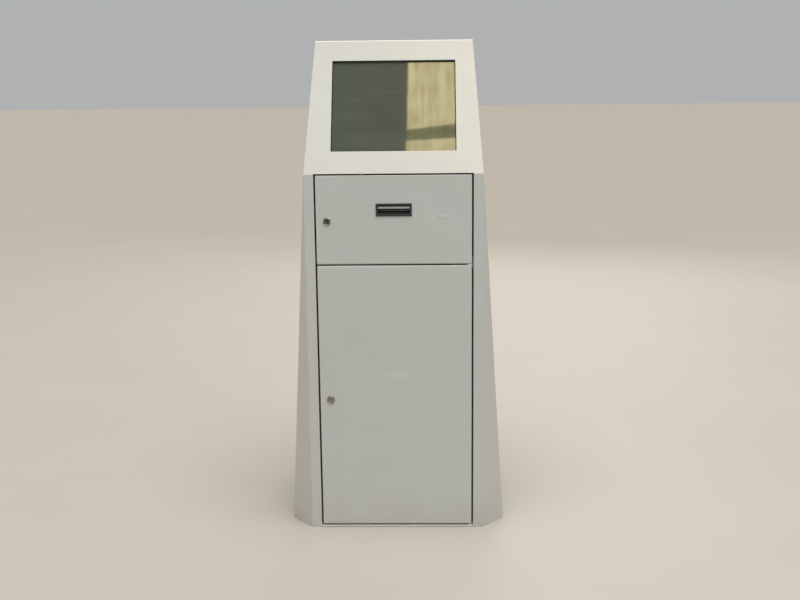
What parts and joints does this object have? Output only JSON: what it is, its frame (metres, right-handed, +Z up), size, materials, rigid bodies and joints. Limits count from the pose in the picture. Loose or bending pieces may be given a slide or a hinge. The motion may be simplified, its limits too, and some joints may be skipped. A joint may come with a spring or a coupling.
{
  "type": "ticket vending machine",
  "caption": "Freestanding ticket kiosk: sloped touch-screen head, ticket slot door, tall lockable lower door, body widening to the floor.",
  "frame": {"origin": "on the floor, at the middle of the machine's outline", "axes": "+Z up, front faces -Y, +X to the right of a user facing the front"},
  "size_m": [0.605, 0.456, 1.3515],
  "materials": {
    "painted_steel": "light grey powder coat, fine satin texture",
    "zinc_steel": "zinc plated",
    "lock_chrome": "polished, lightly worn",
    "bright_bar": "dull bright metal",
    "black_plastic": "moulded, fine grain",
    "grey_plastic": "moulded",
    "black_rubber": "matte",
    "white_plastic": "moulded",
    "pinion_brass": "machined",
    "screen_glass": "dark display glass, glossy",
    "paper": "thermal paper, matte",
    "cardboard": "rolled card"
  },
  "bodies": {
    "cabinet": {"side_panel_left": "painted_steel", "side_panel_right": "painted_steel", "head_panel": "painted_steel", "base_pan": "painted_steel", "back_panel": "painted_steel", "middle_rail": "painted_steel", "printer_shelf": "painted_steel", "pivot_tab": "painted_steel", "pivot_pin_top": "zinc_steel", "pivot_pin_middle": "zinc_steel", "pivot_pin_bottom": "zinc_steel", "screen_gasket": "black_rubber", "touch_glass": "screen_glass", "lcd_panel": "black_plastic", "monitor_cover": "zinc_steel", "monitor_bracket_left": "zinc_steel", "monitor_bracket_right": "zinc_steel", "printer_chassis": "zinc_steel", "cutter_unit": "zinc_steel", "feed_motor": "zinc_steel", "roll_spindle": "grey_plastic", "cover_hinge_pin": "zinc_steel", "computer_case": "zinc_steel", "computer_front_cover": "black_plastic", "power_supply": "grey_plastic", "fan_frame": "black_plastic", "fan_guard": "zinc_steel", "mains_inlet": "black_plastic", "monitor_cable": "black_rubber", "printer_cable": "black_rubber"},
    "upper_door": {"upper_door": "painted_steel", "ticket_bezel": "black_plastic", "tear_bar": "bright_bar", "upper_lock_housing": "lock_chrome", "upper_lock_nut": "zinc_steel"},
    "upper_lock": {"upper_lock_core": "lock_chrome", "upper_lock_cam": "zinc_steel"},
    "lower_door": {"lower_door": "painted_steel", "lower_lock_housing": "lock_chrome", "lower_lock_nut": "zinc_steel"},
    "lower_lock": {"lower_lock_core": "lock_chrome", "lower_lock_cam": "zinc_steel"},
    "printer_cover": {"printer_cover": "grey_plastic", "print_head": "black_plastic"},
    "platen": {"platen_roller": "black_rubber", "platen_gear": "white_plastic"},
    "motor_pinion": {"motor_pinion": "pinion_brass"},
    "paper_roll": {"paper_roll": "paper", "paper_core": "cardboard"},
    "fan_rotor": {"fan_rotor": "black_plastic"},
    "inlet_rocker": {"inlet_rocker": "black_plastic"},
    "power_button": {"computer_power_button": "grey_plastic"}
  },
  "joints": [
    {"name": "upper_door_hinge", "type": "hinge", "parent": "cabinet", "child": "upper_door", "pos_m": [0.2045, -0.2185, 0.8774], "axis": [0, 0, 1], "range_deg": [0, 105]},
    {"name": "upper_lock_turn", "type": "hinge", "parent": "upper_door", "child": "upper_lock", "pos_m": [-0.1806, -0.225, 0.8745], "axis": [0, 1, 0], "range_deg": [0, 90]},
    {"name": "lower_door_hinge", "type": "hinge", "parent": "cabinet", "child": "lower_door", "pos_m": [0.2045, -0.2185, 0.381], "axis": [0, 0, 1], "range_deg": [0, 105]},
    {"name": "lower_lock_turn", "type": "hinge", "parent": "lower_door", "child": "lower_lock", "pos_m": [-0.1806, -0.225, 0.3755], "axis": [0, 1, 0], "range_deg": [0, 90]},
    {"name": "printer_cover_hinge", "type": "hinge", "parent": "cabinet", "child": "printer_cover", "pos_m": [0, -0.119, 0.905], "axis": [-1, 0, 0], "range_deg": [0, 60]},
    {"name": "platen_spin", "type": "hinge", "parent": "cabinet", "child": "platen", "pos_m": [0, -0.163, 0.8955], "axis": [1, 0, 0], "continuous": true},
    {"name": "motor_pinion_spin", "type": "hinge", "parent": "cabinet", "child": "motor_pinion", "pos_m": [0, -0.1534, 0.87887], "axis": [1, 0, 0], "continuous": true},
    {"name": "paper_roll_spin", "type": "hinge", "parent": "cabinet", "child": "paper_roll", "pos_m": [0, -0.065, 0.846], "axis": [1, 0, 0], "continuous": true},
    {"name": "fan_spin", "type": "hinge", "parent": "cabinet", "child": "fan_rotor", "pos_m": [-0.11, 0.225, 0.52], "axis": [0, 1, 0], "continuous": true},
    {"name": "inlet_rocker_tip", "type": "hinge", "parent": "cabinet", "child": "inlet_rocker", "pos_m": [-0.15, 0.225, 0.133], "axis": [1, 0, 0], "range_deg": [0, 20]},
    {"name": "power_button_press", "type": "slide", "parent": "cabinet", "child": "power_button", "axis": [0, 1, 0], "range_m": [0, 0.003], "stiffness_N_per_m": 600}
  ],
  "couplings": [
    {"joint": "motor_pinion_spin", "follows": "platen_spin", "ratio": -2}
  ]
}
